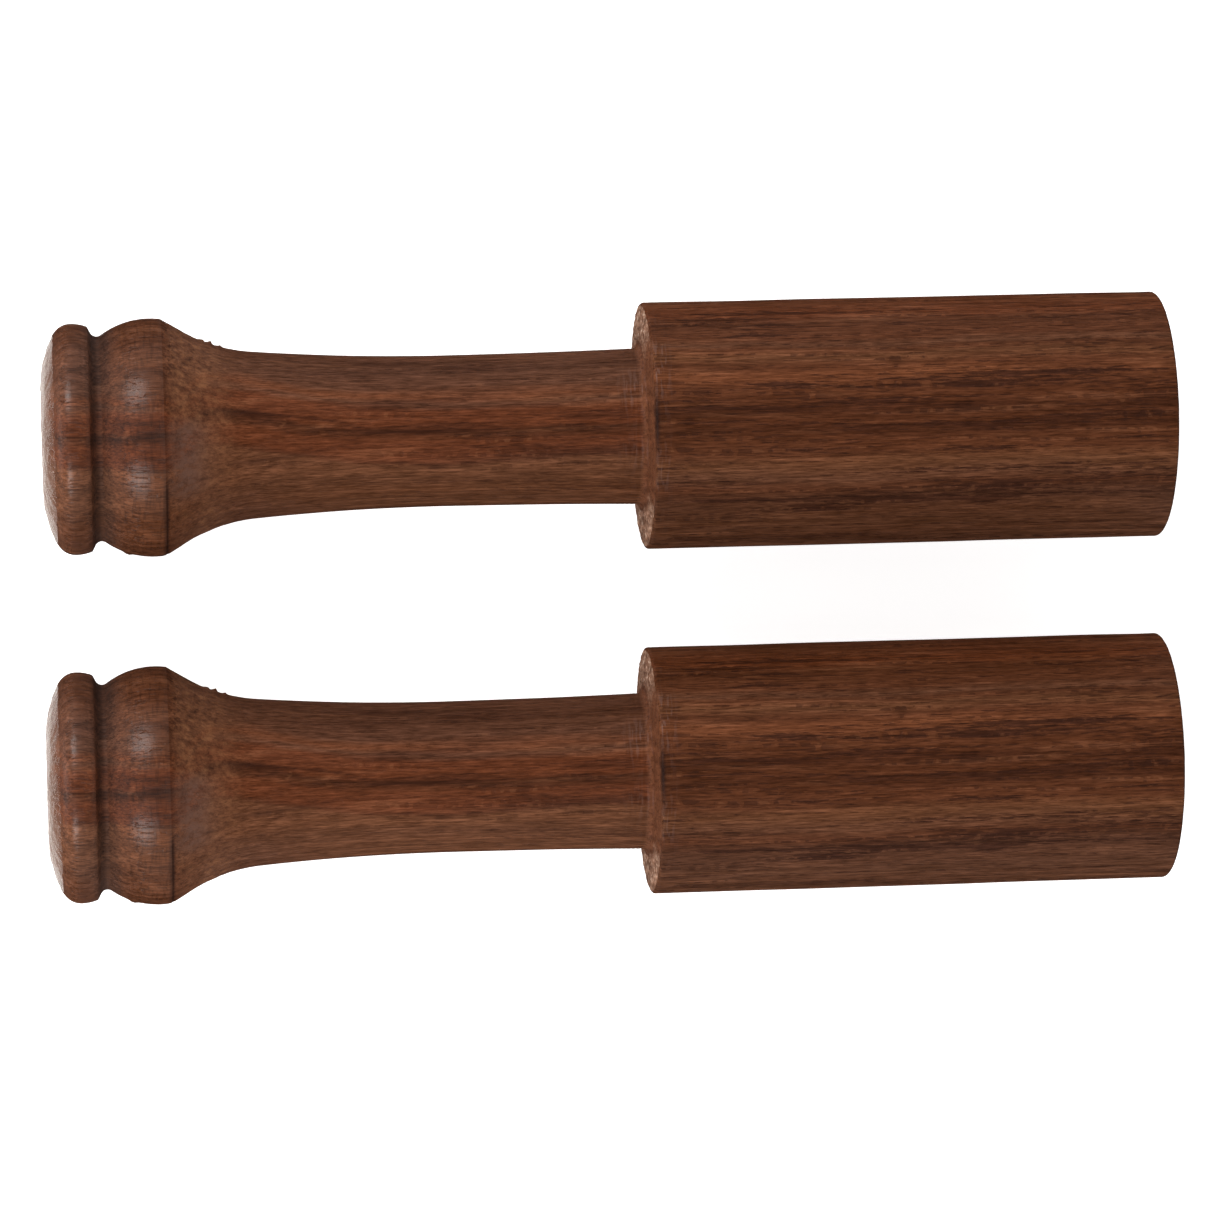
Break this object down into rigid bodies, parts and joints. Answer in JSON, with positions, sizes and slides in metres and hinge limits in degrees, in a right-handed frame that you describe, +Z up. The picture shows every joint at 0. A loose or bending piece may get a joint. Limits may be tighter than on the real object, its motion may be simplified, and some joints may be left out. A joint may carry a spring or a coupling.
{
  "type": "pair of claves",
  "caption": "Pair of loose turned hardwood claves, each with a cylindrical striking head, square shoulder, waisted grip, bead and domed butt; one is held and struck by the other.",
  "frame": {"origin": "on the surface that the pair lies on, under the middle of the pair's box", "axes": "+X along both sticks from the butts to the striking heads, +Z up, +Y from the striking clave to the held clave"},
  "size_m": [0.1456, 0.0766, 0.032],
  "materials": {
    "turned_wood": "oiled dark red-brown hardwood, straight grained, satin"
  },
  "bodies": {
    "held_clave": {"held_clave": "turned_wood"},
    "striking_clave": {"striking_clave": "turned_wood"}
  },
  "joints": [
    {"name": "strike_slide", "type": "slide", "parent": "held_clave", "child": "striking_clave", "axis": [0, 1, 0], "range_m": [-0.15, 0.0124]}
  ]
}
